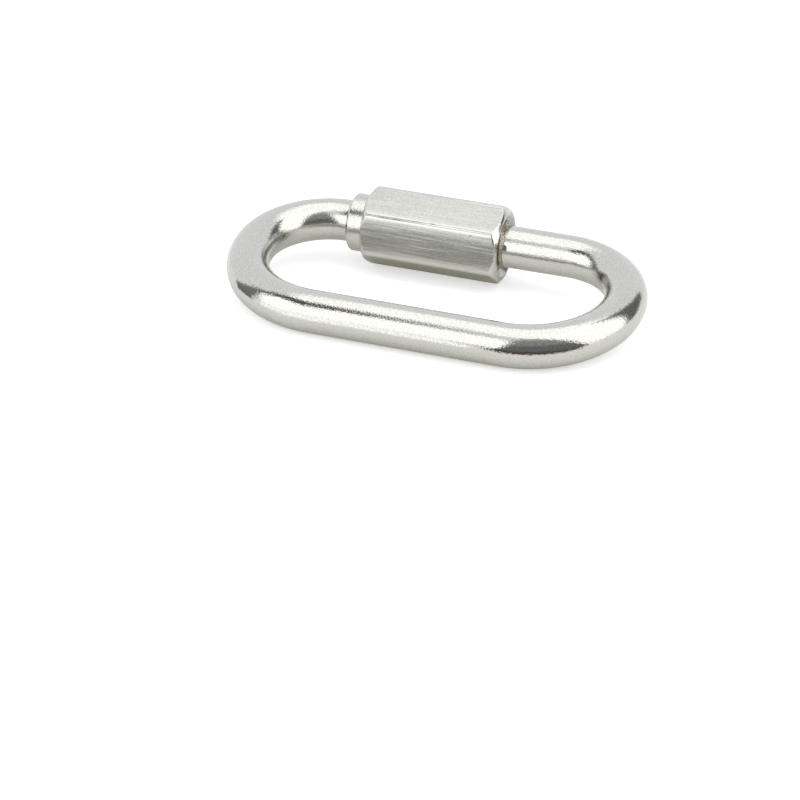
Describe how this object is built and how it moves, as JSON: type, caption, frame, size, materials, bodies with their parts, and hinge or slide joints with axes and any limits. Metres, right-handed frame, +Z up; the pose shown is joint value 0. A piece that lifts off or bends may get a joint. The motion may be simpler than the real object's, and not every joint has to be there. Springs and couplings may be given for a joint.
{
  "type": "chain quick link",
  "caption": "Oval wire link with one open side that a long hexagonal sleeve nut screws across; it joins chain ends, rings and rope eyes.",
  "frame": {"origin": "on the floor, below the middle of the link's box, with the link lying at rest on its front bar and on the nut's lowest edge", "axes": "+X along the link, from the collar end to the plain end and the way the nut opens; +Y from the front bar to the nut; +Z up"},
  "size_m": [0.0748, 0.041, 0.0147],
  "materials": {
    "polished_wire": "polished stainless steel wire",
    "satin_nut": "satin stainless steel bar, brushed along its length"
  },
  "bodies": {
    "link": {"link_body": "polished_wire"},
    "nut": {"sleeve_nut": "satin_nut"}
  },
  "joints": [
    {"name": "nut_travel", "type": "slide", "parent": "link", "child": "nut", "axis": [1, 0, 0], "range_m": [0, 0.01125]}
  ]
}
